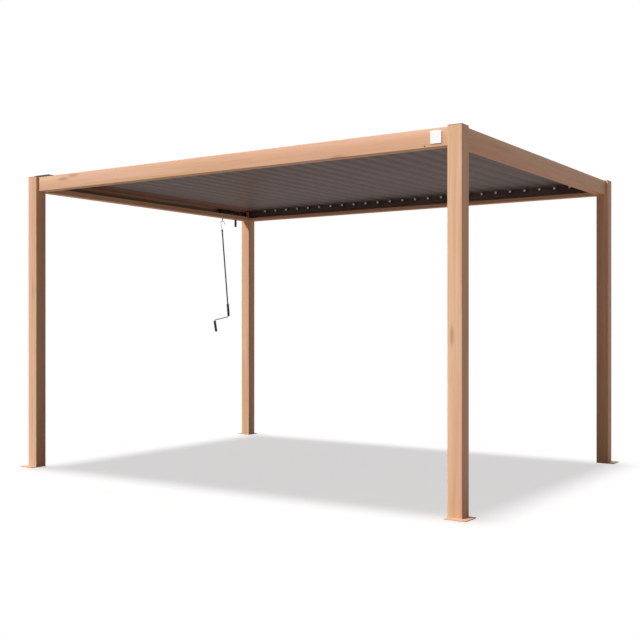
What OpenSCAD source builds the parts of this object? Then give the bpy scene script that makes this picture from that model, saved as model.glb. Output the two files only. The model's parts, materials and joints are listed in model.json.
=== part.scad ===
// Louvered pergola: four tube posts on anchor plates, four hollow beams, and a roof of
// tilting blades that one hanging crank opens through a worm gear.
// X runs along the long side, Y from front to back, Z up. Z = 0 is the ground.

/* [Frame] */
// Length over the posts
frame_l = 4000; // [3000:50:5200]
// Depth over the posts
frame_w = 3000; // [2300:50:4000]
// Height of the post tops
post_h = 2440; // [2000:10:3000]
// Side of the square post tube
post = 100; // [84:2:130]
// Wall of the post tube
post_wall = 2; // [1.5:0.5:4]
// Thickness of the cap on each post
cap_t = 4; // [3:1:6]

/* [Anchor plates] */
// How far a plate reaches past the two outer sides of its post
plate_reach = 50; // [40:1:80]
// Thickness of an anchor plate
plate_t = 6; // [4:1:12]
// Anchor holes from the plate's outer edges
anchor_inset = 25; // [18:1:35]
// Distance from the corner hole to the next hole
anchor_spacing = 95; // [80:1:110]
// Diameter of an anchor hole
anchor_d = 11; // [8:0.5:14]
// Height of the spigot that stands inside the post
spigot_h = 100; // [60:5:200]

/* [Beams] */
// Height of a beam
beam_h = 118; // [110:1:160]
// Width of a beam
beam_w = 80; // [70:1:84]
// Wall of a beam
beam_wall = 2; // [1.5:0.5:3]
// Drop from the post tops to the beam tops
beam_drop = 6; // [4:1:20]
// Height of the lower lip of a side beam
side_lip = 41; // [30:1:50]
// Height of the open slot of a side beam, above its lower lip
side_slot = 46; // [34:1:50]
// Height of the lower lip of a front or back beam
long_lip = 29; // [20:1:35]

/* [Louver rails] */
// Thickness of the upright plate of a louver rail
rail_t = 3; // [3:0.5:5]
// Lower edge of a louver rail above the beam's underside
rail_foot = 45; // [40:1:55]
// Width of a rail's upper flange
rail_flange = 25; // [20:1:35]
// Width of a rail's lower flange
rail_lip = 14; // [8:1:20]

/* [Louvers] */
// Number of louvers
louver_count = 26; // [18:1:30]
// First louver pivot from the inner face of the left beam
first_pivot = 233; // [200:1:260]
// Last louver pivot from the inner face of the right beam
last_pivot = 92; // [85:1:120]
// Pivot axis below the beam tops
pivot_drop = 29; // [29:0.5:40]
// Reach of a louver's upper lip behind its pivot
lip_reach = 96; // [88:1:110]
// Overlap of one louver's lip over the next one's tongue
lap = 13; // [8:1:20]
// Clear gap between neighbouring louvers
louver_gap = 5; // [5:0.5:8]
// Height of a louver's top above its pivot
louver_top = 27; // [26:0.5:30]
// Height of a louver's flat underside above its pivot
louver_floor = 14; // [12:0.5:15]
// Depth of the soft ridge along a louver's underside
ridge = 5; // [3:0.5:5]
// Wall of a louver
louver_wall = 1.4; // [1.2:0.1:2]
// Thickness of a louver's lip and tongue
edge_t = 2.5; // [2:0.1:3]
// Thickness of a louver's end cap
endcap_t = 4; // [3:0.5:6]
// Gap between an end cap and the louver rail, which holds the link bar
end_gap = 13; // [12:0.5:18]
// Radius of the round lobe at an end cap's pivot
lobe_r = 20; // [16:1:22]
// Radius of a pivot pin
pin_r = 6; // [5:0.5:8]
// Radius of a pivot pin's head
pin_head_r = 11; // [9:0.5:13]
// Thickness of a pivot pin's head
pin_head_t = 3; // [2:0.5:5]
// Running clearance of a pin in its hole
run_fit = 0.05; // [0.03:0.01:0.08]

/* [Link bar] */
// Distance from a louver's pivot to its drive pin
drive_r = 28; // [27:0.5:30]
// Radius of a drive pin
drive_pin_r = 4; // [3:0.5:5]
// Height of the link bar
link_h = 14; // [12:1:16]
// Thickness of the link bar
link_t = 4; // [3:0.5:5]
// Gap between the end caps and the link bar
link_gap = 2; // [1:0.5:3]

/* [Gear] */
// Crank eye from the back beam's inner face
eye_inset = 400; // [300:10:800]
// Length of the gear housing
gear_l = 300; // [240:5:340]
// Width of the gear housing
gear_w = 44; // [36:1:46]
// Height of the gear housing
gear_h = 82; // [70:1:100]
// Radius of the eye's ring, to the middle of its wire
eye_ring_r = 10; // [9:0.5:14]
// Radius of the eye's and the hook's wire
wire_r = 2.5; // [2:0.1:3]
// Radius of the eye's shank
shank_r = 5; // [4:0.5:6]
// Length of the shank below the beam
shank_drop = 17; // [12:1:40]
// Distance from the eye to the hanging peg
peg_offset = 219; // [180:1:230]
// Radius of the hanging peg
peg_r = 12; // [7:0.5:14]
// Length of the hanging peg
peg_l = 80; // [60:1:120]

/* [Crank] */
// Direction in which the crank's plane lies, from +X
crank_yaw = 34; // [0:1:60]
// Lean of the crank rod as it hangs
rod_lean = 4.3; // [0:0.1:8]
// Radius of the hook's bend, to the middle of its wire
hook_r = 18; // [15:0.5:24]
// Length of the hook from its bend to the rod
hook_l = 70; // [50:1:100]
// Length of the rod, from the ferrule to the upper grip
rod_l = 785; // [500:5:1000]
// Radius of the rod
rod_r = 7; // [4:0.5:8]
// Length of the ferrule
ferrule_l = 24; // [15:1:40]
// Radius of the ferrule
ferrule_r = 9.5; // [8.5:0.5:12]
// Length of the upper grip
upper_grip_l = 128; // [80:1:160]
// Length of the crank arm
arm_l = 153; // [100:1:220]
// Slope of the crank arm below level
arm_slope = 13.6; // [0:0.1:25]
// Lean of the lower grip as it hangs
handle_lean = 8; // [0:0.1:12]
// Length of the lower grip
lower_grip_l = 112; // [80:1:160]
// Radius of the crank arm's bar
arm_r = 5.5; // [3:0.5:6.5]
// Radius of a grip
grip_r = 13; // [9:0.5:14]

/* [Trim] */
// Side of the blank plate on the front beam
badge = 78; // [50:1:90]
// Thickness of the blank plate
badge_t = 6; // [3:1:8]
// Middle of the blank plate from the front beam's right end
badge_inset = 87; // [60:1:160]
// Length of the corner cover on top of the front left corner
cover_l = 175; // [120:1:220]
// Width of the corner cover
cover_w = 58; // [40:1:60]
// Thickness of the corner cover above the post top
cover_t = 9; // [6:1:12]
// Length of a corner bracket along its beam
bracket_l = 62; // [40:1:90]
// Thickness of a corner bracket
bracket_t = 4; // [3:0.5:6]
// Width of a gutter liner in a side beam
liner_w = 30; // [24:1:30]
// Height of a gutter liner
liner_h = 72; // [50:1:76]
// Wall of a gutter liner
liner_wall = 1.5; // [1.2:0.1:2]

/* [Hidden] */
$fn = 48;
eps = 0.01;
fit = 0.2;

// Inner faces of the posts and the beams
in_x = frame_l/2 - post;
in_y = frame_w/2 - post;
eye_y = in_y - eye_inset;
beam_top = post_h - beam_drop;
beam_foot = beam_top - beam_h;
post_top = post_h - cap_t;

// Louver rails and what turns in them
rail_y = in_y - rail_t;
rail_top = beam_top - beam_wall;
bush_t = 5;
bush_r = 13;
bush_seat_r = 9;
pivot_z = beam_top - pivot_drop;
pivot_x0 = first_pivot - in_x;
pitch = (2*in_x - first_pivot - last_pivot) / (louver_count - 1);
cap_face = rail_y - end_gap;
cap_inner = cap_face - endcap_t;
pin_end = in_y + bush_t + 1;

// A louver's section, measured from its pivot: X across the blade, Z up
lip_x = -lip_reach;
body_x0 = lip_x + lap + louver_gap;
tongue_x = pitch + lip_x + lap;
body_x1 = tongue_x - lap - louver_gap;
ridge_x = body_x0 + 0.72*(body_x1 - body_x0);

// Drive pins stand at 45 degrees up and back from the pivots, so that the link bar
// stays above the pivot pins for the whole quarter turn
drive_x = -drive_r*sin(45);
drive_z = drive_r*cos(45);
link_y = cap_face + link_gap;
link_end = 14;

// The eye, the point on it that carries the crank, and the crank's bends
eye_x = -(in_x + beam_w/2);
ring_z = beam_foot - shank_drop - eye_ring_r;
hang_z = ring_z - eye_ring_r;
hook_play = 0.5;
knuckle = 0.3;
tang_l = 14;
hook_top = 2*wire_r + hook_play;
bend_z = hook_top - hook_r;
hook_tip = [27, -32];
rod_start = [-4, bend_z - hook_l];
rod_dir = [sin(rod_lean), -cos(rod_lean)];
grip_start = rod_start + (rod_l + 2)*rod_dir;
grip_end = grip_start + upper_grip_l*rod_dir;
arm_start = grip_end + 6*rod_dir;
arm_end = arm_start + arm_l*[-cos(arm_slope), -sin(arm_slope)];
handle_dir = [sin(handle_lean), -cos(handle_lean)];
handle_end = arm_end + (lower_grip_l + 10)*handle_dir;
grip_bore = arm_r + run_fit;

wood = "burlywood";
dark = "dimgray";
louver_names = [for (i = [1:louver_count]) str("louver_", i < 10 ? "0" : "", i)];

// A square ring, centred, standing on z = 0
module square_tube(side, wall, h) {
    difference() {
        translate([-side/2, -side/2, 0]) cube([side, side, h]);
        translate([wall - side/2, wall - side/2, -eps])
            cube([side - 2*wall, side - 2*wall, h + 2*eps]);
    }
}

// Places its children at a corner of the frame, with +X and +Y pointing outwards
module at_corner(sx, sy) {
    translate([sx*(frame_l - post)/2, sy*(frame_w - post)/2, 0])
        mirror([sx < 0 ? 1 : 0, 0, 0]) mirror([0, sy < 0 ? 1 : 0, 0]) children();
}

module at_corners() {
    for (sx = [-1, 1], sy = [-1, 1]) at_corner(sx, sy) children();
}

module post_tube(sx, sy) {
    color(wood) at_corner(sx, sy)
        translate([0, 0, plate_t]) square_tube(post, post_wall, post_top - plate_t);
}

module base_plates() {
    side = post + plate_reach;
    far = post/2 + plate_reach;
    near = far - anchor_inset;
    spots = [[near, near], [near - anchor_spacing, near], [near, near - anchor_spacing]];
    color(wood) at_corners() {
        difference() {
            translate([-post/2, -post/2, 0]) cube([side, side, plate_t]);
            for (p = spots) translate([p[0], p[1], -1]) cylinder(d = anchor_d, h = plate_t + 2);
        }
        translate([0, 0, plate_t - eps])
            square_tube(post - 2*post_wall - 2*fit, 3, spigot_h + eps);
    }
}

module post_caps() {
    color(dark) at_corners() {
        translate([-post/2, -post/2, post_top]) cube([post, post, cap_t]);
        translate([0, 0, post_top - 20])
            square_tube(post - 2*post_wall - 2*fit, 3, 20 + eps);
    }
}

// A beam's section: X from its inner face outwards, Y up from its underside.
// The inner wall is open from slot_lo to slot_hi.
module beam_section(slot_lo, slot_hi) {
    difference() {
        square([beam_w, beam_h]);
        translate([beam_wall, beam_wall])
            square([beam_w - 2*beam_wall, beam_h - 2*beam_wall]);
        translate([-1, slot_lo]) square([beam_wall + 2, slot_hi - slot_lo]);
    }
}

// Runs a section along a side of the frame, from its inner face outwards
module along_side(sx, len) {
    mirror([sx < 0 ? 1 : 0, 0, 0]) translate([in_x, len/2, beam_foot])
        rotate([90, 0, 0]) linear_extrude(len) children();
}

module along_front_or_back(sy, len) {
    mirror([0, sy < 0 ? 1 : 0, 0]) translate([-len/2, in_y, beam_foot])
        rotate([90, 0, 90]) linear_extrude(len) children();
}

module side_beam(sx) {
    color(wood) along_side(sx, 2*in_y) beam_section(side_lip, side_lip + side_slot);
}

// The left beam has the hole that the eye's shank turns in
module left_beam() {
    color(wood) difference() {
        side_beam(-1);
        translate([eye_x, eye_y, beam_foot - 1]) cylinder(r = shank_r + 3, h = beam_wall + 2);
    }
}

module long_beam(sy) {
    color(wood) along_front_or_back(sy, 2*in_x) beam_section(long_lip, beam_h - beam_wall);
}

module rail_section() {
    height = rail_top - beam_foot - rail_foot;
    translate([-rail_t, rail_foot]) square([rail_t, height]);
    translate([-eps, rail_foot + height - 2]) square([rail_flange, 2]);
    translate([-eps, rail_foot]) square([rail_lip, 2]);
}

module at_pivots() {
    for (i = [0:louver_count - 1]) translate([pivot_x0 + i*pitch, 0, pivot_z]) children();
}

module louver_rail(sy) {
    color(dark) difference() {
        along_front_or_back(sy, 2*in_x - 4) rail_section();
        mirror([0, sy < 0 ? 1 : 0, 0]) at_pivots() translate([0, rail_y - 1, 0])
            rotate([-90, 0, 0]) cylinder(r = bush_seat_r, h = rail_t + 2);
    }
}

// Flanged bushes on the hidden side of a rail, each with its spigot in the rail's hole
module bushes(sy) {
    color("black") mirror([0, sy < 0 ? 1 : 0, 0]) at_pivots() rotate([-90, 0, 0])
        difference() {
            union() {
                translate([0, 0, in_y]) cylinder(r = bush_r, h = bush_t);
                translate([0, 0, rail_y]) cylinder(r = bush_seat_r - run_fit, h = rail_t + eps);
            }
            translate([0, 0, rail_y - 1])
                cylinder(r = pin_r + run_fit, h = rail_t + bush_t + 2);
        }
}

module gutter_liners() {
    color("slategray") for (sx = [-1, 1])
        along_side(sx, 2*(in_y - bracket_l - 6)) difference() {
            translate([beam_w - beam_wall - liner_w, beam_wall]) square([liner_w, liner_h]);
            translate([beam_w - beam_wall - liner_w + liner_wall, beam_wall + liner_wall])
                square([liner_w - 2*liner_wall, liner_h]);
        }
}

// Fixed plates that close the roof beside the first and the last louver: on the left a
// tongue under the first lip, on the right a lip over the last tongue
module edge_flashings() {
    len = 2*(rail_y - 2);
    tongue_z = pivot_z + louver_floor;
    lip_z = pivot_z + louver_top - edge_t;
    tongue_end = pivot_x0 - pitch + tongue_x;
    lip_start = pivot_x0 + (louver_count - 1)*pitch + pitch + lip_x + 3;
    low = beam_top - 30;
    color("sienna") {
        translate([-in_x, -len/2, tongue_z]) cube([tongue_end + in_x, len, edge_t]);
        translate([-in_x, -len/2, low]) cube([edge_t, len, tongue_z - low + eps]);
        translate([lip_start, -len/2, lip_z]) cube([in_x - lip_start, len, edge_t]);
        translate([in_x - edge_t, -len/2, low]) cube([edge_t, len, lip_z - low + eps]);
    }
}

// An angle in each beam end: a foot on the post's face and a leg along the beam's web
module bracket() {
    rise = beam_h - 2*beam_wall - 8;
    foot_w = 44;
    translate([beam_w - beam_wall - foot_w, 0, beam_wall + 4]) cube([foot_w, bracket_t, rise]);
    translate([beam_w - beam_wall - bracket_t, 0, beam_wall + 4])
        cube([bracket_t, bracket_l, rise]);
}

module corner_brackets() {
    color("black") for (sx = [0, 1], sy = [0, 1])
        mirror([sx, 0, 0]) mirror([0, sy, 0]) translate([0, 0, beam_foot]) {
            translate([in_x, in_y, 0]) mirror([0, 1, 0]) bracket();
            translate([in_x, in_y, 0]) rotate(90) bracket();
        }
}

// A low cover that bridges the front left post top and the end of the front beam
module corner_cover() {
    on_post = 50;
    front = -(in_y + beam_w);
    color("black") translate([0, front, 0]) {
        translate([-in_x - on_post, 0, post_h]) cube([cover_l, cover_w, cover_t]);
        translate([-in_x + 1, 0, beam_top])
            cube([cover_l - on_post - 1, cover_w, beam_drop + eps]);
    }
}

module blank_plate() {
    color("whitesmoke")
        translate([in_x - badge_inset - badge/2, -in_y - beam_w - badge_t, beam_foot + 19])
            cube([badge, badge_t, badge]);
}

module gear_housing() {
    boss_r = 15;
    color("black") difference() {
        union() {
            translate([-in_x - beam_wall - gear_w, eye_y - 60, beam_foot + beam_wall])
                cube([gear_w, gear_l, gear_h]);
            translate([-in_x - beam_wall - 1, eye_y + 75, beam_foot + side_lip + 21])
                rotate([0, 90, 0]) cylinder(r = boss_r, h = beam_wall + 10);
        }
        translate([eye_x, eye_y, beam_foot]) cylinder(r = shank_r + run_fit, h = 42);
    }
}

module hanging_peg() {
    color("black") translate([eye_x, eye_y + peg_offset, beam_foot - peg_l + peg_r]) {
        cylinder(r = peg_r, h = peg_l - peg_r);
        sphere(r = peg_r);
    }
}

// The gear's turning shank, with the ring that the crank hooks into
module drive_eye() {
    color("black") translate([eye_x, eye_y, 0]) {
        translate([0, 0, ring_z + eye_ring_r])
            cylinder(r = shank_r, h = beam_foot + 41 - ring_z - eye_ring_r);
        translate([0, 0, ring_z]) rotate(crank_yaw) rotate([0, 90, 0])
            rotate_extrude() translate([eye_ring_r, 0]) circle(r = wire_r);
    }
}

// Places the crank's own plane: X along the plane, Z up, the hanging point at the origin
module in_crank_plane() {
    translate([eye_x, eye_y, hang_z]) rotate(crank_yaw) children();
}

// A round bar from a to b, two points of the crank's plane, with a ball at each bend
module bar(a, b, r, bore = 0, balls = false) {
    d = b - a;
    length = norm(d);
    translate([a[0], 0, a[1]]) rotate([0, atan2(d[0], d[1]), 0]) difference() {
        union() {
            cylinder(r = r, h = length);
            if (balls) sphere(r = r + knuckle);
            if (balls) translate([0, 0, length]) sphere(r = r + knuckle);
        }
        if (bore > 0) translate([0, 0, -1]) cylinder(r = bore, h = length + 2);
    }
}

// The wire hook, with a straight tang that sits in the ferrule
module crank_hook() {
    color("gray") in_crank_plane() {
        translate([0, 0, bend_z]) rotate([90, 0, 0])
            rotate_extrude(angle = 180) translate([hook_r, 0]) circle(r = wire_r);
        bar([-hook_r, bend_z], rod_start, wire_r, balls = true);
        bar([hook_r, bend_z], hook_tip, wire_r, balls = true);
        bar(rod_start, rod_start + tang_l*rod_dir, wire_r);
    }
}

// The rod, with a bored ferrule that takes the hook's tang
module crank_rod() {
    mouth = rod_start + (wire_r + knuckle + fit)*rod_dir;
    seat = rod_start + (tang_l + fit)*rod_dir;
    color("black") in_crank_plane() difference() {
        union() {
            bar(mouth, rod_start + ferrule_l*rod_dir, ferrule_r);
            bar(rod_start + ferrule_l/2*rod_dir, rod_start + rod_l*rod_dir, rod_r);
        }
        bar(rod_start, seat, wire_r + fit);
    }
}

// One bent bar: through the upper grip, across, and down through the lower grip
module crank_arm() {
    color("gray") in_crank_plane() {
        bar(rod_start + rod_l*rod_dir, arm_start, arm_r);
        bar(arm_start, arm_end, arm_r, balls = true);
        bar(arm_end, handle_end, arm_r);
        bar(handle_end - handle_dir, handle_end + 3*handle_dir, arm_r + 3);
    }
}

module upper_grip() {
    color("black") in_crank_plane() bar(grip_start, grip_end, grip_r, grip_bore);
}

module lower_grip() {
    color("black") in_crank_plane()
        bar(arm_end + 8*handle_dir, arm_end + (8 + lower_grip_l)*handle_dir, grip_r, grip_bore);
}

// The flat bar that joins the drive pins at the back ends of all louvers
module link_bar() {
    first = pivot_x0 + drive_x;
    color(dark) difference() {
        translate([first - link_end, link_y, pivot_z + drive_z - link_h/2])
            cube([(louver_count - 1)*pitch + 2*link_end, link_t, link_h]);
        at_pivots() translate([drive_x, link_y - 1, drive_z]) rotate([-90, 0, 0])
            cylinder(r = drive_pin_r + run_fit, h = link_t + 2);
    }
}

// The underside of a louver: level, then a slow fall to the ridge and a quick rise
function floor_at(x) = louver_floor - ridge*(
    x < ridge_x
        ? sin(90*(x - body_x0)/(ridge_x - body_x0))
        : cos(90*(x - ridge_x)/(body_x1 - ridge_x)));
function floor_line(inset) = [
    for (i = [8:-1:0])
        let (x = body_x0 + inset + i/8*(body_x1 - body_x0 - 2*inset))
        [x, floor_at(x) + inset]];

module louver_section() {
    polygon(concat(
        [[lip_x, louver_top - edge_t], [lip_x, louver_top], [body_x1, louver_top]],
        [[body_x1, louver_floor + edge_t], [tongue_x, louver_floor + edge_t]],
        [[tongue_x, louver_floor]],
        floor_line(0),
        [[body_x0, louver_top - edge_t]]
    ));
}

module louver_hollow() {
    top = louver_top - louver_wall;
    polygon(concat(
        [[body_x0 + louver_wall, top], [body_x1 - louver_wall, top]],
        floor_line(louver_wall)
    ));
}

// Half a louver's end, at the back: cap plate with its round lobe, pivot pin and head
module louver_end() {
    translate([0, cap_face, 0]) rotate([90, 0, 0]) linear_extrude(endcap_t) {
        louver_section();
        circle(r = lobe_r);
    }
    rotate([-90, 0, 0]) {
        translate([0, 0, cap_inner]) cylinder(r = pin_r, h = pin_end - cap_inner);
        translate([0, 0, cap_inner - pin_head_t]) cylinder(r = pin_head_r, h = pin_head_t + eps);
    }
}

module louver(i) {
    color(dark) translate([pivot_x0 + i*pitch, 0, pivot_z]) {
        difference() {
            translate([0, cap_inner + eps, 0]) rotate([90, 0, 0])
                linear_extrude(2*(cap_inner + eps)) louver_section();
            translate([0, cap_inner - louver_wall, 0]) rotate([90, 0, 0])
                linear_extrude(2*(cap_inner - louver_wall)) louver_hollow();
        }
        louver_end();
        mirror([0, 1, 0]) louver_end();
        translate([drive_x, cap_face - eps, drive_z]) rotate([-90, 0, 0])
            cylinder(r = drive_pin_r, h = link_gap + link_t + 1 + eps);
    }
}

post_tube(-1, -1);  // post_front_left
post_tube(1, -1);  // post_front_right
post_tube(1, 1);  // post_back_right
post_tube(-1, 1);  // post_back_left
base_plates();
post_caps();
long_beam(-1);  // front_beam
long_beam(1);  // back_beam
left_beam();
side_beam(1);  // right_beam
louver_rail(-1);  // front_rail
louver_rail(1);  // back_rail
bushes(-1);  // front_bushes
bushes(1);  // back_bushes
gutter_liners();
edge_flashings();
corner_brackets();
corner_cover();
blank_plate();
gear_housing();
hanging_peg();
drive_eye();
crank_hook();
crank_rod();
crank_arm();
upper_grip();
lower_grip();
link_bar();
for (i = [0:louver_count - 1])
    louver(i);
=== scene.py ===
# %% [markdown]
# # A louvered pergola
# A pergola is a frame of square posts and hollow beams with a roof that opens: 26 thin aluminium
# blades tilt together when somebody turns the crank. The construction comes packed from CAD as a
# fixed frame. This lesson gives every surface its finish, rounds the edges that a folded or extruded
# metal section really has, and makes the small turned and bent parts in mesh code.

# %% Load the frame and keep its box
import json
import math
import bmesh
import bpy
from mathutils import Matrix, Vector

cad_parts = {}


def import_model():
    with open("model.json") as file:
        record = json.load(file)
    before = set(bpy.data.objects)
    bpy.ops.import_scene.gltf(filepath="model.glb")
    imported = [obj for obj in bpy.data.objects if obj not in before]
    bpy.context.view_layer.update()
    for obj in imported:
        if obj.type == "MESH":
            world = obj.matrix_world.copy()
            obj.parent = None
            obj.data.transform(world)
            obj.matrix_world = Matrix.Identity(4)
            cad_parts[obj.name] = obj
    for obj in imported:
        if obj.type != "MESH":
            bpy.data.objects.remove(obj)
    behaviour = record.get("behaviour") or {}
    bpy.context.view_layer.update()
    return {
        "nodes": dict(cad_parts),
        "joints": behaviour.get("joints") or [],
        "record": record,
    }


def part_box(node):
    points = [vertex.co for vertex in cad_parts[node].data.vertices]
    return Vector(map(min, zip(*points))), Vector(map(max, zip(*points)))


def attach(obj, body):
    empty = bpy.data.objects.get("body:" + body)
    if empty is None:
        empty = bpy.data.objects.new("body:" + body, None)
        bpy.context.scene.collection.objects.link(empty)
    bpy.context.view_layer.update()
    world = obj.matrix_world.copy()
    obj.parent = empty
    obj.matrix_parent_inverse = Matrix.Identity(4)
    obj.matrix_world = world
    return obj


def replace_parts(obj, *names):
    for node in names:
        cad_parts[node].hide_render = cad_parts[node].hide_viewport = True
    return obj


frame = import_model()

MM = 0.001
record = frame["record"]
nodes = frame["nodes"]
joints = {j["name"]: j for j in frame["joints"]}

# %% [markdown]
# Shader maths is easier to read as Python. A `Value` wraps one output socket, and each operator on it
# adds the Math node that does the sum; `|` takes the larger of two. `Maker` adds any other node: its
# settings come first, because some of them change which sockets the node has.

# %% A small language for shader nodes
class Value:
    def __init__(self, maker, socket):
        self.maker = maker
        self.socket = socket

    def _sum(self, operation, a, b):
        return self.maker.add("ShaderNodeMath", {"operation": operation}, [a, b])

    def __add__(self, other):
        return self._sum("ADD", self, other)

    def __radd__(self, other):
        return self._sum("ADD", other, self)

    def __sub__(self, other):
        return self._sum("SUBTRACT", self, other)

    def __rsub__(self, other):
        return self._sum("SUBTRACT", other, self)

    def __mul__(self, other):
        return self._sum("MULTIPLY", self, other)

    def __rmul__(self, other):
        return self._sum("MULTIPLY", other, self)

    def __or__(self, other):
        return self._sum("MAXIMUM", self, other)


class Maker:
    def __init__(self, tree):
        self.tree = tree

    def add(self, kind, settings=None, inputs=None, out=0):
        node = self.tree.nodes.new(kind)
        for key, value in (settings or {}).items():
            setattr(node, key, value)
        given = inputs.items() if isinstance(inputs, dict) else enumerate(inputs or [])
        for key, value in given:
            if isinstance(value, Value):
                self.tree.links.new(value.socket, node.inputs[key])
            else:
                node.inputs[key].default_value = value
        return Value(self, node.outputs[out])

    def stretched(self, scale):
        """The piece's own coordinates, in metres, multiplied axis by axis."""
        place = self.add("ShaderNodeTexCoord", out="Object")
        return self.add("ShaderNodeVectorMath", {"operation": "MULTIPLY"}, [place, scale])

    def noise(self, scale, detail=3.0, rough=0.5, distortion=0.0):
        return self.add("ShaderNodeTexNoise", {}, {
            "Vector": self.stretched(scale), "Scale": 1.0, "Detail": detail,
            "Roughness": rough, "Distortion": distortion})

    def smooth(self, value, low, high):
        """0 below low, 1 above high, with an eased step between them."""
        return self.add("ShaderNodeMapRange", {"interpolation_type": "SMOOTHSTEP"},
                        [value, low, high, 0.0, 1.0])

    def mix(self, factor, a, b):
        """A colour between a and b. The Mix node keeps its colour sockets at 6, 7 and out at 2."""
        return self.add("ShaderNodeMix", {"data_type": "RGBA"}, {0: factor, 6: a, 7: b}, out=2)

    def bump(self, height, distance, strength=1.0):
        return self.add("ShaderNodeBump", {},
                        {"Strength": strength, "Distance": distance, "Height": height})


def rgb(r, g, b):
    """A colour written as 0 to 255 screen values, turned into linear light."""
    def linear(c):
        c = c / 255
        return c / 12.92 if c <= 0.04045 else ((c + 0.055) / 1.055) ** 2.4
    return (linear(r), linear(g), linear(b), 1.0)


def new_material(name):
    material = bpy.data.materials.new(name)
    material.use_nodes = True
    tree = material.node_tree
    shader = tree.nodes["Principled BSDF"]
    return material, Maker(tree), shader


def plug(maker, shader, **sockets):
    for name, value in sockets.items():
        socket = shader.inputs[name.replace("_", " ")]
        if isinstance(value, Value):
            maker.tree.links.new(value.socket, socket)
        else:
            socket.default_value = value


# %% [markdown]
# The posts and beams are aluminium with a wood-look film baked on. The print has three scales: broad
# pale and reddish streaks along the section, fine pores, and a few soft knots. Noise stretched along
# one axis makes the streaks, so there is one material for each direction that a section runs in. The
# film is satin, and its pores are too shallow for geometry, so they are a faint bump.

# %% Wood-look film
PEACH = (214, 178, 148)
HONEY = (203, 163, 124)
ROSE = (206, 158, 134)
UMBER = (150, 102, 76)
KNOT = (128, 82, 60)
# Noise cells in one metre, across the section and along it.
STREAKS = (16, 0.55)
BANDS = (5.5, 0.35)
FIBRES = (150, 3.2)
FIGURE = (42, 1.3)
KNOTS = (7.5, 1.7)
KNOTTY_PLACES = (2.3, 0.9)
PORE_DEPTH = 0.15 * MM


def wood_film(name, along, shift):
    """The film on sections that run along axis 0, 1 or 2; shift varies the figure a little."""
    material, m, shader = new_material(name)

    def stretch(cells, extra=0.0):
        scale = [cells[0] + extra] * 3
        scale[along] = cells[1]
        return tuple(scale)

    streaks = m.noise(stretch(STREAKS, shift), detail=4, rough=0.55, distortion=0.6)
    bands = m.noise(stretch(BANDS, shift), detail=2, rough=0.5)
    fibres = m.noise(stretch(FIBRES), detail=3, rough=0.6)
    figure = m.noise(stretch(FIGURE, shift), detail=3, rough=0.6, distortion=1.4)
    knots = m.add("ShaderNodeTexVoronoi", {"feature": "F1"}, {
        "Vector": m.stretched(stretch(KNOTS)), "Scale": 1.0, "Randomness": 1.0})
    knot = 1.0 - m.smooth(knots, 0.03, 0.17)
    rare = m.smooth(m.noise(stretch(KNOTTY_PLACES), detail=0), 0.50, 0.60)
    pale = m.mix(m.smooth(streaks, 0.36, 0.66), rgb(*PEACH), rgb(*HONEY))
    ruddy = m.mix(m.smooth(bands, 0.40, 0.66) * 0.55, pale, rgb(*ROSE))
    figured = m.mix(m.smooth(figure, 0.52, 0.72) * 0.22, ruddy, rgb(*UMBER))
    pored = m.mix(m.smooth(fibres, 0.55, 0.80) * 0.20, figured, rgb(*UMBER))
    colour = m.mix(knot * rare * 0.45, pored, rgb(*KNOT))
    plug(m, shader, Base_Color=colour, Roughness=0.44 + 0.16 * fibres,
         Normal=m.bump(fibres + 0.5 * figure, PORE_DEPTH, 0.5))
    shader.inputs["Specular IOR Level"].default_value = 0.28
    return material


wood_x = wood_film("wood_film_along_x", 0, 0.0)
wood_y = wood_film("wood_film_along_y", 1, 0.7)
wood_z = wood_film("wood_film_along_z", 2, 1.3)
print("wood films", wood_x.name, wood_y.name, wood_z.name)

# %% [markdown]
# Powder coat is a baked paint with a fine orange-peel skin. Under it the metal is smooth, so the colour
# hardly varies: what shows is a tiny bump, a roughness that drifts, and pale dust in soft random
# patches. One function makes every painted or moulded finish from a colour, a roughness and the size of
# its skin.

# %% Painted, moulded and plated finishes
DUST = (176, 168, 158)


def coated(name, colour, rough, skin=0.002, bump=0.00006, metallic=0.0, dust=0.08, coat=0.0):
    material, m, shader = new_material(name)
    skin_scale = 1.0 / skin
    peel = m.noise((skin_scale,) * 3, detail=2, rough=0.5)
    drift = m.noise((3.1, 3.1, 3.1), detail=3, rough=0.6, distortion=0.5)
    shade = m.mix(m.smooth(drift, 0.35, 0.75) * dust, rgb(*colour), rgb(*DUST))
    speck = m.mix(m.smooth(peel, 0.62, 0.80) * 0.10, shade, rgb(*DUST))
    plug(m, shader, Base_Color=speck, Roughness=rough + 0.14 * drift,
         Metallic=metallic, Normal=m.bump(peel, bump, 0.6), Coat_Weight=coat)
    return material


louver_paint = coated("anthracite_louver_paint", (73, 71, 74), 0.36, skin=0.003, dust=0.05)
rail_paint = coated("anthracite_rail_paint", (66, 52, 48), 0.42)
cap_plastic = coated("brown_cap_plastic", (96, 66, 50), 0.45)
black_plastic = coated("black_moulded_plastic", (22, 22, 23), 0.38, skin=0.0012)
black_steel = coated("black_steel_paint", (24, 24, 26), 0.32, dust=0.03)
zinc = coated("zinc_plated_wire", (150, 150, 150), 0.30, skin=0.0015, metallic=0.85, dust=0.03)
nylon = coated("white_nylon", (250, 244, 232), 0.30, skin=0.004, dust=0.02)
liner_paint = coated("grey_gutter_paint", (122, 122, 120), 0.36)
flashing_paint = coated("brown_flashing_paint", (112, 72, 54), 0.40)
plate_gloss = coated("white_plate_gloss", (240, 241, 244), 0.16, skin=0.006, dust=0.02, coat=0.4)
grip_rubber = coated("black_grip_rubber", (18, 18, 19), 0.55, skin=0.0008, bump=0.00010)
print("finishes", len(bpy.data.materials))

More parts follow.
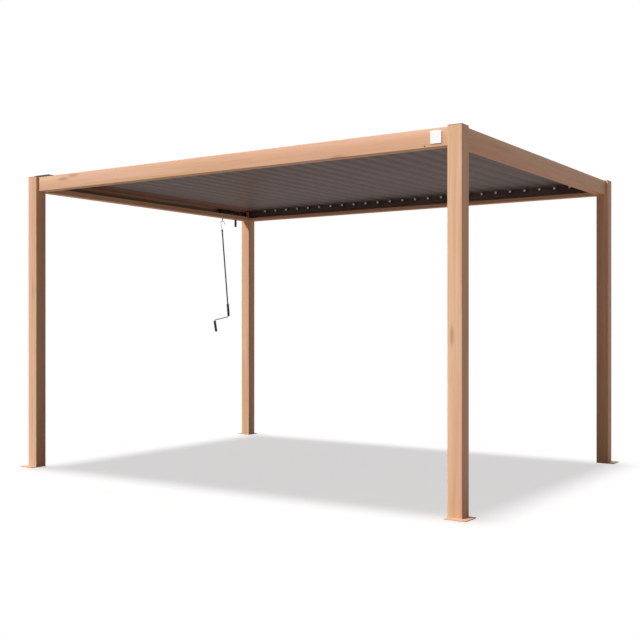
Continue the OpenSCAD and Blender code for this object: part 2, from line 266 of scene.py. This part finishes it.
# %% [markdown]
# Helpers for the pieces. `put` names a mesh, gives it its finish and hangs it on a body of the frame,
# so that it moves with the part it sits on. Every piece is either a softened copy of a CAD node, an
# outline pushed along one axis, a profile turned on a lathe, or a bar swept along a path.

# %% Putting a piece on a body
def put(name, mesh, finish, body, smooth=35.0):
    piece = bpy.data.objects.new(name, mesh)
    bpy.context.scene.collection.objects.link(piece)
    mesh.materials.clear()
    mesh.materials.append(finish)
    mesh.shade_smooth()
    mesh.set_sharp_from_angle(angle=math.radians(smooth))
    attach(piece, body)
    return piece


def mesh_from(bm, name):
    bmesh.ops.remove_doubles(bm, verts=bm.verts, dist=1e-7)
    bmesh.ops.recalc_face_normals(bm, faces=bm.faces)
    mesh = bpy.data.meshes.new(name)
    bm.to_mesh(mesh)
    bm.free()
    return mesh


# %% [markdown]
# A rolled tube or an extruded beam never has a knife edge: its arrises are rounded by two or three
# millimetres, and that thin curved line is what catches the light. The CAD solids are sharp, so the
# visible copy of each gets its long outer arrises bevelled. Bevelling every edge would eat the thin
# walls, so only edges that lie on the node's own bounding box are chosen.

# %% Softened copies of CAD nodes
def islands(bm):
    """The separate solids of a mesh, as lists of vertices."""
    left = set(bm.verts)
    groups = []
    while left:
        seed = left.pop()
        group, edge = {seed}, [seed]
        while edge:
            for link in edge.pop().link_edges:
                for vert in link.verts:
                    if vert in left:
                        left.discard(vert)
                        group.add(vert)
                        edge.append(vert)
        groups.append(group)
    return groups


def outer_edges(group, long_only):
    """Edges that run along a side of their solid's own box."""
    low = [min(v.co[i] for v in group) for i in range(3)]
    high = [max(v.co[i] for v in group) for i in range(3)]
    sides = [high[i] - low[i] for i in range(3)]
    longest = sides.index(max(sides))
    chosen = []
    for edge in {e for v in group for e in v.link_edges}:
        span = edge.verts[1].co - edge.verts[0].co
        axis = max(range(3), key=lambda i: abs(span[i]))
        if edge.calc_length() < 1e-6 or abs(span[axis]) < 0.999 * edge.calc_length():
            continue
        if long_only and axis != longest:
            continue
        across = [i for i in range(3) if i != axis]
        co = edge.verts[0].co
        if all(min(co[i] - low[i], high[i] - co[i]) < 1e-6 for i in across):
            chosen.append(edge)
    return chosen


def soften(node, finish, radius, long_only=False, steps=3):
    """A copy of a CAD node with rounded outer arrises, which stands for the node."""
    bm = bmesh.new()
    bm.from_mesh(nodes[node].data)
    bmesh.ops.remove_doubles(bm, verts=bm.verts, dist=1e-6)
    bmesh.ops.dissolve_limit(bm, angle_limit=math.radians(0.5), verts=bm.verts, edges=bm.edges)
    chosen = [e for group in islands(bm) for e in outer_edges(group, long_only)]
    bmesh.ops.bevel(bm, geom=chosen, offset=radius, segments=steps, profile=0.5,
                    affect="EDGES", clamp_overlap=True)
    slot = next(s["material_slot"] for s in record["subparts"] if s["node"] == node)
    body = next(b for b, members in record["behaviour"]["bodies"].items() if node in members)
    piece = put(node + "_shell", mesh_from(bm, node), finish, body)
    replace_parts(piece, node)
    return piece


# %% [markdown]
# Posts, beams, plates and caps. The post tube is rolled, with the largest radius; the extruded beams
# are crisper. The anchor plates are cut from sheet, so their edges are only broken.

# %% The frame's sections
ARRIS = {"tube": 2.6 * MM, "beam": 1.8 * MM, "plate": 1.0 * MM, "moulding": 1.4 * MM}
for corner in ("front_left", "front_right", "back_right", "back_left"):
    soften("post_" + corner, wood_z, ARRIS["tube"], long_only=True)
for side, finish in (("front", wood_x), ("back", wood_x), ("left", wood_y), ("right", wood_y)):
    soften(side + "_beam", finish, ARRIS["beam"], long_only=True)
soften("base_plates", wood_x, ARRIS["plate"])
soften("post_caps", cap_plastic, ARRIS["moulding"])
for side in ("front", "back"):
    soften(side + "_rail", rail_paint, 0.6 * MM, long_only=True)
soften("corner_cover", black_plastic, 2.5 * MM)
soften("corner_brackets", black_plastic, 1.0 * MM)
soften("edge_flashings", flashing_paint, 0.8 * MM, long_only=True)
soften("gutter_liners", liner_paint, 0.5 * MM, long_only=True)
soften("link_bar", rail_paint, 0.8 * MM, long_only=True)
for side in ("front", "back"):
    nodes[side + "_bushes"].data.materials.clear()
    nodes[side + "_bushes"].data.materials.append(black_plastic)

# %% [markdown]
# Turned parts: a lathe spins a half outline of radius and height pairs about an axis. `at` places the
# finished part with its own +Z along the wanted direction.

# %% Lathe, extruder and sweep
def frame_along(direction, origin):
    z = Vector(direction).normalized()
    side = Vector((0, 1, 0)) if abs(z.y) < 0.9 else Vector((1, 0, 0))
    x = side.cross(z).normalized()
    y = z.cross(x)
    place = Matrix((x, y, z)).transposed().to_4x4()
    place.translation = Vector(origin)
    return place


def lathe(bm, outline, direction, origin, sides=32):
    """Adds a closed turned solid: outline is a list of (radius, height), ends on the axis."""
    place = frame_along(direction, origin)
    rings = []
    for radius, height in outline:
        if radius < 1e-9:
            rings.append([bm.verts.new(place @ Vector((0, 0, height)))])
            continue
        ring = []
        for k in range(sides):
            turn = 2 * math.pi * k / sides
            ring.append(bm.verts.new(
                place @ Vector((radius * math.cos(turn), radius * math.sin(turn), height))))
        rings.append(ring)
    for low, high in zip(rings, rings[1:]):
        for k in range(sides):
            corners = [low[k % len(low)], low[(k + 1) % len(low)],
                       high[(k + 1) % len(high)], high[k % len(high)]]
            corners = list(dict.fromkeys(corners))
            if len(corners) > 2:
                bm.faces.new(corners)


def round_rim(radius, height, edge, steps=4):
    """The outline of a rim of that radius, rounded over an edge below that height."""
    turns = [math.radians(90 * i / steps) for i in range(steps + 1)]
    return [(radius - edge + edge * math.cos(t), height - edge + edge * math.sin(t))
            for t in turns]


def extrude(bm, outline, y0, y1, x, z):
    """Adds a closed prism: outline lists (x, z) points, pushed from y0 to y1."""
    ends = [[bm.verts.new((x + px, y, z + pz)) for px, pz in outline] for y in (y0, y1)]
    count = len(outline)
    for i in range(count):
        j = (i + 1) % count
        bm.faces.new((ends[0][i], ends[0][j], ends[1][j], ends[1][i]))
    bm.faces.new(ends[0])
    bm.faces.new(ends[1])


def sweep(bm, path, radius, sides=16):
    """Adds a round bar along a list of points, with slightly rounded ends."""
    points = [Vector(p) for p in path]
    first = (points[1] - points[0]).normalized()
    last = (points[-1] - points[-2]).normalized()
    rounding = 0.35 * radius
    radii = [0.65 * radius] + [radius] * len(points) + [0.65 * radius]
    points = ([points[0]] + [points[0] + rounding * first] + points[1:-1]
              + [points[-1] - rounding * last, points[-1]])
    normal = first.orthogonal().normalized()
    rings = []
    for i, point in enumerate(points):
        ahead = points[min(i + 1, len(points) - 1)] - points[max(i - 1, 0)]
        ahead.normalize()
        normal = (normal - ahead * normal.dot(ahead)).normalized()
        other = ahead.cross(normal)
        rings.append([bm.verts.new(point + radii[i] * (
            math.cos(2 * math.pi * k / sides) * normal
            + math.sin(2 * math.pi * k / sides) * other)) for k in range(sides)])
    for low, high in zip(rings, rings[1:]):
        for k in range(sides):
            bm.faces.new((low[k], low[(k + 1) % sides], high[(k + 1) % sides], high[k]))
    bm.faces.new(rings[0])
    bm.faces.new(rings[-1])


# %% [markdown]
# A louver is a hollow extrusion 152 mm wide. Its upper lip lies over its neighbour's tongue, and its
# underside sinks in a soft ridge that stiffens it: from below the ridge makes the bright and dark
# stripe on each blade. The CAD blade has that ridge in flat strips, so the visible blade repeats the
# same outline with a finer curve and rounded edges. Its sizes come from the CAD node and its pivot.

# %% The louver's outline
low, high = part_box("louver_01")
first_pivot = Vector(joints["louver_01_tilt"]["pos_m"])
second_pivot = Vector(joints["louver_02_tilt"]["pos_m"])
pitch = second_pivot.x - first_pivot.x
lip_x = low.x - first_pivot.x
tongue_x = high.x - first_pivot.x
top_z = high.z - first_pivot.z
lobe_r = first_pivot.z - low.z
LAP, GAP, EDGE = 13 * MM, 5 * MM, 2.5 * MM
FLOOR, RIDGE = 14 * MM, 5 * MM
body_x0 = lip_x + LAP + GAP
body_x1 = tongue_x - LAP - GAP
ridge_x = body_x0 + 0.72 * (body_x1 - body_x0)
bar_low, bar_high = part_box("link_bar")
CAP_T, LINK_GAP = 4 * MM, 2 * MM
cap_face = bar_low.y - LINK_GAP
cap_inner = cap_face - CAP_T
print("pitch", round(pitch, 4), "blade", round(lip_x, 4), round(tongue_x, 4), round(top_z, 4))


def floor_at(x):
    if x < ridge_x:
        dip = math.sin(math.pi / 2 * (x - body_x0) / (ridge_x - body_x0))
    else:
        dip = math.cos(math.pi / 2 * (x - ridge_x) / (body_x1 - ridge_x))
    return FLOOR - RIDGE * dip


def blade_outline(steps=30):
    soft = 0.6 * MM
    lip_low = top_z - EDGE
    tongue_top = FLOOR + EDGE
    line = [(lip_x, lip_low + soft), (lip_x, top_z - soft), (lip_x + soft, top_z)]
    line += [(body_x1 - soft, top_z), (body_x1, top_z - soft), (body_x1, tongue_top)]
    line += [(tongue_x - soft, tongue_top), (tongue_x, tongue_top - soft)]
    line += [(tongue_x, FLOOR + soft), (tongue_x - soft, FLOOR)]
    for i in range(steps, -1, -1):
        x = body_x0 + (body_x1 - body_x0) * i / steps
        line.append((x, floor_at(x)))
    line += [(body_x0, lip_low), (lip_x + soft, lip_low)]
    return line


# %% [markdown]
# Each louver gets four pieces that ride on its body: the painted blade, two black end caps with a
# round lobe about the pivot, the white nylon pivot pins, whose heads show as a row of pale dots under
# the roof, and the drive pin with its washer at the back, which the link bar pushes.

# %% Blades, end caps and pivot pins
PIN_R, HEAD_R, HEAD_T, DRIVE_R = 6 * MM, 11 * MM, 3 * MM, 4 * MM
pin_reach = high.y
outline = blade_outline()


def blade(index, pivot):
    bm = bmesh.new()
    extrude(bm, outline, -cap_inner, cap_inner, pivot.x, pivot.z)
    return put(f"blade_{index:02d}", mesh_from(bm, "blade"), louver_paint,
               f"louver_{index:02d}", smooth=28.0)


def end_caps(index, pivot):
    bm = bmesh.new()
    rim = 1.0 * MM
    for side in (-1, 1):
        extrude(bm, outline, side * cap_inner, side * cap_face, pivot.x, pivot.z)
        lobe = [(0, 0), (lobe_r - rim, 0)] + round_rim(lobe_r, CAP_T, rim) + [(0, CAP_T)]
        lathe(bm, lobe, (0, -side, 0), (pivot.x, side * cap_face, pivot.z), sides=40)
    return put(f"end_caps_{index:02d}", mesh_from(bm, "end_caps"), black_plastic,
               f"louver_{index:02d}")


def pivot_pins(index, pivot):
    bm = bmesh.new()
    recess, floor_h = 3.2 * MM, HEAD_T - 1.4 * MM
    reach = pin_reach - cap_face
    for side in (-1, 1):
        inner = side * cap_inner
        head = [(0, 0), (HEAD_R, 0)] + round_rim(HEAD_R, HEAD_T, 1.2 * MM)
        head += [(recess, HEAD_T), (recess - 0.5 * MM, floor_h), (0, floor_h)]
        lathe(bm, head, (0, -side, 0), (pivot.x, inner, pivot.z), sides=28)
        pin = [(0, 0), (PIN_R, 0)] + round_rim(PIN_R, reach, 1.0 * MM) + [(0, reach)]
        lathe(bm, pin, (0, side, 0), (pivot.x, side * cap_face, pivot.z), sides=24)
    return put(f"pivot_pins_{index:02d}", mesh_from(bm, "pivot_pins"), nylon,
               f"louver_{index:02d}")


def drive_pin(index, drive):
    bm = bmesh.new()
    length = bar_high.y + 1.0 * MM - cap_face
    washer_r, washer_t = 6.5 * MM, 0.9 * MM
    outline_pin = [(0, 0), (DRIVE_R, 0)] + round_rim(DRIVE_R, length, 0.6 * MM) + [(0, length)]
    lathe(bm, outline_pin, (0, 1, 0), (drive.x, cap_face, drive.z), sides=20)
    washer = [(0, 0), (washer_r, 0)] + round_rim(washer_r, washer_t, 0.3 * MM) + [(0, washer_t)]
    lathe(bm, washer, (0, 1, 0), (drive.x, bar_high.y + 0.05 * MM, drive.z), sides=20)
    return put(f"drive_pin_{index:02d}", mesh_from(bm, "drive_pin"), zinc,
               f"louver_{index:02d}")


drive_step = Vector(joints["link_bar_turn"]["pos_m"]) - first_pivot
count = sum(1 for name in joints if name.startswith("louver_") and name.endswith("_tilt"))
for index in range(1, count + 1):
    pivot = Vector(joints[f"louver_{index:02d}_tilt"]["pos_m"])
    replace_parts(blade(index, pivot), f"louver_{index:02d}")
    end_caps(index, pivot)
    pivot_pins(index, pivot)
    drive_pin(index, pivot + drive_step)
print("louvers", count)

# %% [markdown]
# The crank is one bent bar with two loose grips, hooked into the eye of the gear. The wire hook and
# the arm are swept along a path with real bend radii, and the grips are turned with shallow grooves
# where fingers hold them. The places come from the joints: the crank hangs in one upright plane
# through the eye, whose direction is the swing joint's axis turned a quarter. The radii and lengths
# repeat those of the construction.

# %% The crank's plane and bends
hang = Vector(joints["crank_swing"]["pos_m"])
swing_axis = Vector(joints["crank_swing"]["axis"])
plane_x = Vector((swing_axis.y, -swing_axis.x, 0)).normalized()
rod_dir = Vector(joints["upper_grip_spin"]["axis"]).normalized()
grip_top = Vector(joints["upper_grip_spin"]["pos_m"])
handle_dir = Vector(joints["lower_grip_spin"]["axis"]).normalized()
handle_top = Vector(joints["lower_grip_spin"]["pos_m"])
WIRE_R, HOOK_R, ROD_R, ARM_R, GRIP_R = 2.5 * MM, 18 * MM, 7 * MM, 5.5 * MM, 13 * MM
UPPER_GRIP, LOWER_GRIP, GRIP_STEP = 128 * MM, 112 * MM, 8 * MM
FERRULE_R, FERRULE_L, ROD_L = 9.5 * MM, 24 * MM, 785 * MM
rod_end = grip_top - 2 * MM * rod_dir
rod_start = rod_end - ROD_L * rod_dir
arm_start = grip_top + (UPPER_GRIP + 6 * MM) * rod_dir
arm_end = handle_top - GRIP_STEP * handle_dir
handle_end = arm_end + (LOWER_GRIP + 10 * MM) * handle_dir
hook_top = 2 * WIRE_R + 0.5 * MM
bend_centre = hang + Vector((0, 0, hook_top - HOOK_R))
print("rod", round((rod_end - rod_start).length, 3), "arm", round((arm_end - arm_start).length, 3))


def in_plane(x, z, origin):
    return origin + x * plane_x + Vector((0, 0, z))


def rounded_path(corners, radius, steps=7):
    """Straight runs between corners, each inner corner turned on a bend of that radius."""
    path = [corners[0]]
    for a, b, c in zip(corners, corners[1:], corners[2:]):
        back, ahead = (a - b).normalized(), (c - b).normalized()
        half = back.angle(ahead) / 2
        reach = min(radius / math.tan(half), 0.45 * (a - b).length, 0.45 * (c - b).length)
        for i in range(steps + 1):
            t = i / steps
            path.append((1 - t) ** 2 * (b + reach * back) + 2 * t * (1 - t) * b
                        + t ** 2 * (b + reach * ahead))
    path.append(corners[-1])
    return path


# %% Hook, rod, arm and grips
def crank_hook():
    turns = [math.radians(180 - 9 * i) for i in range(21)]
    arch = [in_plane(HOOK_R * math.cos(t), HOOK_R * math.sin(t), bend_centre) for t in turns]
    leg = [rod_start + 14 * MM * rod_dir, rod_start]
    tip = in_plane(27 * MM, -32 * MM, hang)
    lead = rounded_path(leg + [arch[0]], 14 * MM)
    bm = bmesh.new()
    sweep(bm, lead[:-1] + arch + [tip], WIRE_R, sides=14)
    piece = put("crank_wire_hook", mesh_from(bm, "hook"), zinc, "crank", smooth=60)
    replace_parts(piece, "crank_hook")


def crank_rod():
    mouth = 3 * MM
    length = (rod_end - rod_start).length
    neck = [(WIRE_R + 0.2 * MM, mouth), (FERRULE_R - 1.5 * MM, mouth)]
    outline = [(0, mouth + 1 * MM)] + neck + [(FERRULE_R, mouth + 1.5 * MM)]
    outline += [(FERRULE_R, FERRULE_L - 3 * MM), (ROD_R + 1 * MM, FERRULE_L), (ROD_R, FERRULE_L)]
    outline += [(ROD_R, length - 0.5 * MM), (ROD_R - 0.5 * MM, length), (0, length)]
    bm = bmesh.new()
    lathe(bm, outline, rod_dir, rod_start, sides=28)
    piece = put("crank_rod_tube", mesh_from(bm, "rod"), black_steel, "crank")
    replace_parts(piece, "crank_rod")


def crank_arm():
    bm = bmesh.new()
    corners = [rod_end, arm_start, arm_end, handle_end]
    sweep(bm, rounded_path(corners, 11 * MM), ARM_R, sides=20)
    stop = [(0, 0), (ARM_R + 3 * MM, 0)] + round_rim(ARM_R + 3 * MM, 3 * MM, 1 * MM) + [(0, 3 * MM)]
    lathe(bm, stop, handle_dir, handle_end - 0.2 * MM * handle_dir, sides=24)
    piece = put("crank_bent_arm", mesh_from(bm, "arm"), zinc, "crank")
    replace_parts(piece, "crank_arm")


def grip(name, start, direction, length, grooves):
    """A rubber grip: a sleeve with rounded ends and shallow grooves for the fingers."""
    bore, edge = ARM_R + 0.05 * MM, 2.2 * MM
    outline = [(bore, 0), (GRIP_R - edge, 0)]
    outline += [(r, edge - (h - (length - edge))) for r, h in reversed(round_rim(GRIP_R, length, edge))]
    for i in range(grooves):
        middle = length * (i + 1) / (grooves + 1)
        outline += [(GRIP_R, middle - 2.4 * MM), (GRIP_R - 0.9 * MM, middle - 1.2 * MM)]
        outline += [(GRIP_R - 0.9 * MM, middle + 1.2 * MM), (GRIP_R, middle + 2.4 * MM)]
    outline += round_rim(GRIP_R, length, edge) + [(bore, length), (bore, 0)]
    bm = bmesh.new()
    lathe(bm, outline, direction, start, sides=32)
    piece = put(name + "_sleeve", mesh_from(bm, name), grip_rubber, name)
    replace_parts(piece, name)


crank_hook()
crank_rod()
crank_arm()
grip("upper_grip", grip_top, rod_dir, UPPER_GRIP, 6)
grip("lower_grip", handle_top, handle_dir, LOWER_GRIP, 5)

# %% [markdown]
# The gear hides in the left beam: a moulded box with a round boss that shows in the beam's slot, a
# turned shank with a ring for the crank, and a black peg that hangs beside it. The ring is a true
# torus, so it is a closed sweep rather than a bent bar. Three small domed screws under the beam hold
# the gear.

# %% Gear, eye and peg
EYE_R, SHANK_R, PEG_R = 10 * MM, 5 * MM, 12 * MM
eye_low, eye_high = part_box("drive_eye")
ring_centre = Vector((hang.x, hang.y, hang.z + EYE_R))


def drive_eye(ring_sides=40, wire_sides=14):
    bm = bmesh.new()
    rings = []
    for i in range(ring_sides):
        turn = 2 * math.pi * i / ring_sides
        out = math.cos(turn) * swing_axis + math.sin(turn) * Vector((0, 0, 1))
        rings.append([bm.verts.new(
            ring_centre + (EYE_R + WIRE_R * math.cos(2 * math.pi * k / wire_sides)) * out
            + WIRE_R * math.sin(2 * math.pi * k / wire_sides) * plane_x)
            for k in range(wire_sides)])
    for i in range(ring_sides):
        a, b = rings[i], rings[(i + 1) % ring_sides]
        for k in range(wire_sides):
            bm.faces.new((a[k], a[(k + 1) % wire_sides], b[(k + 1) % wire_sides], b[k]))
    start = ring_centre.z + EYE_R
    length = eye_high.z - start
    shank = [(0, 0), (SHANK_R - 1.5 * MM, 0), (SHANK_R, 2 * MM), (SHANK_R, length), (0, length)]
    lathe(bm, shank, (0, 0, 1), (hang.x, hang.y, start), sides=28)
    piece = put("drive_eye_ring", mesh_from(bm, "eye"), black_steel, "drive_eye",
                smooth=50)
    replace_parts(piece, "drive_eye")


def hanging_peg():
    low_corner, high_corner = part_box("hanging_peg")
    middle = (low_corner + high_corner) / 2
    length = high_corner.z - low_corner.z
    dome = [(PEG_R * math.sin(math.radians(9 * i)), PEG_R * (1 - math.cos(math.radians(9 * i))))
            for i in range(11)]
    neck = [(PEG_R, length - 26 * MM), (PEG_R - 1.2 * MM, length - 24 * MM)]
    collar = [(PEG_R - 1.2 * MM, length - 8 * MM), (PEG_R, length - 7 * MM), (PEG_R, length)]
    bm = bmesh.new()
    lathe(bm, dome + neck + collar + [(0, length)], (0, 0, 1), (middle.x, middle.y, low_corner.z))
    piece = put("peg_turned", mesh_from(bm, "peg"), black_plastic, "frame")
    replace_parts(piece, "hanging_peg")


def gear_screws():
    """Domed screw heads under the beam, in line with the shank, that hold the gear."""
    beam_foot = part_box("left_beam")[0].z
    bm = bmesh.new()
    head = [(0, 2.6 * MM), (1.8 * MM, 2.5 * MM), (3.2 * MM, 1.8 * MM), (4.0 * MM, 0), (0, 0)]
    for step in (-34 * MM, 34 * MM, 120 * MM):
        lathe(bm, head, (0, 0, -1), (hang.x, hang.y + step, beam_foot), sides=20)
    put("gear_screws", mesh_from(bm, "gear_screws"), zinc, "frame")


drive_eye()
hanging_peg()
gear_screws()
soften("gear_housing", black_plastic, 2.5 * MM)

# %% [markdown]
# Two small things sit on the front beam: a white plate, left blank, with a fine raised rim, and one
# black screw at the beam's lower edge. The plate's corners are rounded in its own plane, so its
# outline is drawn with four arcs and pushed out in three short steps.

# %% The blank plate and the screw
def rounded_square(side, radius, steps=6):
    half = side / 2 - radius
    corners = ((half, half, 0), (-half, half, 90), (-half, -half, 180), (half, -half, 270))
    return [(cx + radius * math.cos(math.radians(start + 90 * i / steps)),
             cz + radius * math.sin(math.radians(start + 90 * i / steps)))
            for cx, cz, start in corners for i in range(steps + 1)]


def blank_plate():
    low_corner, high_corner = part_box("blank_plate")
    middle = (low_corner + high_corner) / 2
    side = high_corner.x - low_corner.x
    steps = [(side, high_corner.y), (side, low_corner.y + 1.2 * MM)]
    steps += [(side - 0.7 * MM, low_corner.y + 0.35 * MM), (side - 2.4 * MM, low_corner.y)]
    steps += [(side - 7 * MM, low_corner.y), (side - 8 * MM, low_corner.y + 0.7 * MM)]
    bm = bmesh.new()
    rings = []
    for size, y in steps:
        radius = 5 * MM * size / side
        rings.append([bm.verts.new((middle.x + px, y, middle.z + pz))
                      for px, pz in rounded_square(size, radius)])
    for a, b in zip(rings, rings[1:]):
        for k in range(len(a)):
            bm.faces.new((a[k], a[(k + 1) % len(a)], b[(k + 1) % len(a)], b[k]))
    bm.faces.new(rings[0])
    bm.faces.new(rings[-1])
    piece = put("blank_plate_shell", mesh_from(bm, "plate"), plate_gloss, "frame")
    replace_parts(piece, "blank_plate")


def beam_screw():
    low_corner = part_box("front_beam")[0]
    spot = Vector((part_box("blank_plate")[0].x - 42 * MM, low_corner.y, low_corner.z + 10 * MM))
    head = [(0, 0), (4.6 * MM, 0)] + round_rim(4.6 * MM, 1.9 * MM, 1.2 * MM)
    head += [(2.0 * MM, 1.9 * MM), (1.6 * MM, 0.8 * MM), (0, 0.8 * MM)]
    bm = bmesh.new()
    lathe(bm, head, (0, -1, 0), spot, sides=24)
    put("beam_screw", mesh_from(bm, "screw"), black_steel, "frame")


blank_plate()
beam_screw()

# %% [markdown]
# The set. The floor and the background are white, and only the soft shadow shows where the pergola
# stands. The floor bounces warm light up under the roof, and for the camera it gets a share of plain
# white, which keeps the shadow pale. A sun from the front left gives the bright
# front faces and dark right faces. A second, overhead lamp lights the floor and drops the roof's
# shadow straight under the frame, so the first one leaves the floor out. The world fills the shade.

# %% Floor, world and sun
def floor():
    mesh = bpy.data.meshes.new("floor")
    reach = 60.0
    mesh.from_pydata([(-reach, -reach, 0), (reach, -reach, 0), (reach, reach, 0),
                      (-reach, reach, 0)], [], [(0, 1, 2, 3)])
    piece = bpy.data.objects.new("studio_floor", mesh)
    bpy.context.scene.collection.objects.link(piece)
    material, m, shader = new_material("studio_white")
    shader.inputs["Roughness"].default_value = 0.9
    shader.inputs["Specular IOR Level"].default_value = 0.0
    camera_ray = m.add("ShaderNodeLightPath", out="Is Camera Ray")
    pale = m.mix(camera_ray, BOUNCE, FLOOR_SEEN)
    plug(m, shader, Base_Color=pale, Emission_Color=(1, 1, 1, 1))
    glow = camera_ray * FLOOR_GLOW
    material.node_tree.links.new(glow.socket, shader.inputs["Emission Strength"])
    mesh.materials.append(material)
    return piece


def world():
    backdrop = bpy.data.worlds.new("studio")
    bpy.context.scene.world = backdrop
    backdrop.use_nodes = True
    tree = backdrop.node_tree
    m = Maker(tree)
    seen = m.add("ShaderNodeLightPath", out="Is Camera Ray")
    for name in ("Is Glossy Ray", "Is Transmission Ray"):
        seen = seen | m.add("ShaderNodeLightPath", out=name)
    background = tree.nodes["Background"]
    warm = m.mix(seen, WARM_FILL, (1, 1, 1, 1))
    tree.links.new(warm.socket, background.inputs["Color"])
    strength = FILL + (1.0 - FILL) * seen
    tree.links.new(strength.socket, background.inputs["Strength"])


def sun(name, strength, came_from, softness):
    lamp = bpy.data.lights.new(name, "SUN")
    lamp.energy = strength
    lamp.angle = math.radians(softness)
    holder = bpy.data.objects.new(name, lamp)
    holder.rotation_euler = (-Vector(came_from)).to_track_quat("-Z", "Y").to_euler()
    bpy.context.scene.collection.objects.link(holder)
    return holder


FLOOR_GLOW, FILL = 0.60, 0.16
FLOOR_SEEN = (0.47, 0.47, 0.47, 1)
BOUNCE = (0.60, 0.49, 0.45, 1)
WARM_FILL = (1.0, 0.84, 0.78, 1)
ground = floor()
world()
front_sun = sun("front_sun", 3.95, (-0.45, -0.62, 0.64), 5)
top_lamp = sun("top_lamp", 2.3, (-0.06, 0.02, 1.0), 9)
left_out = bpy.data.collections.new("front_sun_receivers")
left_out.objects.link(ground)
front_sun.light_linking.receiver_collection = left_out
left_out.collection_objects[0].light_linking.link_state = "EXCLUDE"
print("lamps", front_sun.name, top_lamp.name)

# %% [markdown]
# The camera stands at chest height in front of the right-hand corner and looks level, so that the
# posts stay upright. A long lens flattens the frame, and a trace of shift places it as framed.

# %% Camera and colour
camera = bpy.data.cameras.new("camera")
camera.lens = 54.94
camera.sensor_width = 36.0
camera.shift_x = 0.01073
camera.shift_y = 0.0048
camera.clip_end = 200.0
viewer = bpy.data.objects.new("camera", camera)
viewer.location = (4.598, -6.985, 1.210)
viewer.rotation_euler = (math.radians(90), 0, math.radians(34.009))
bpy.context.scene.collection.objects.link(viewer)
bpy.context.scene.camera = viewer
bpy.context.scene.view_settings.view_transform = "Standard"
print("camera at", tuple(round(v, 3) for v in viewer.location))
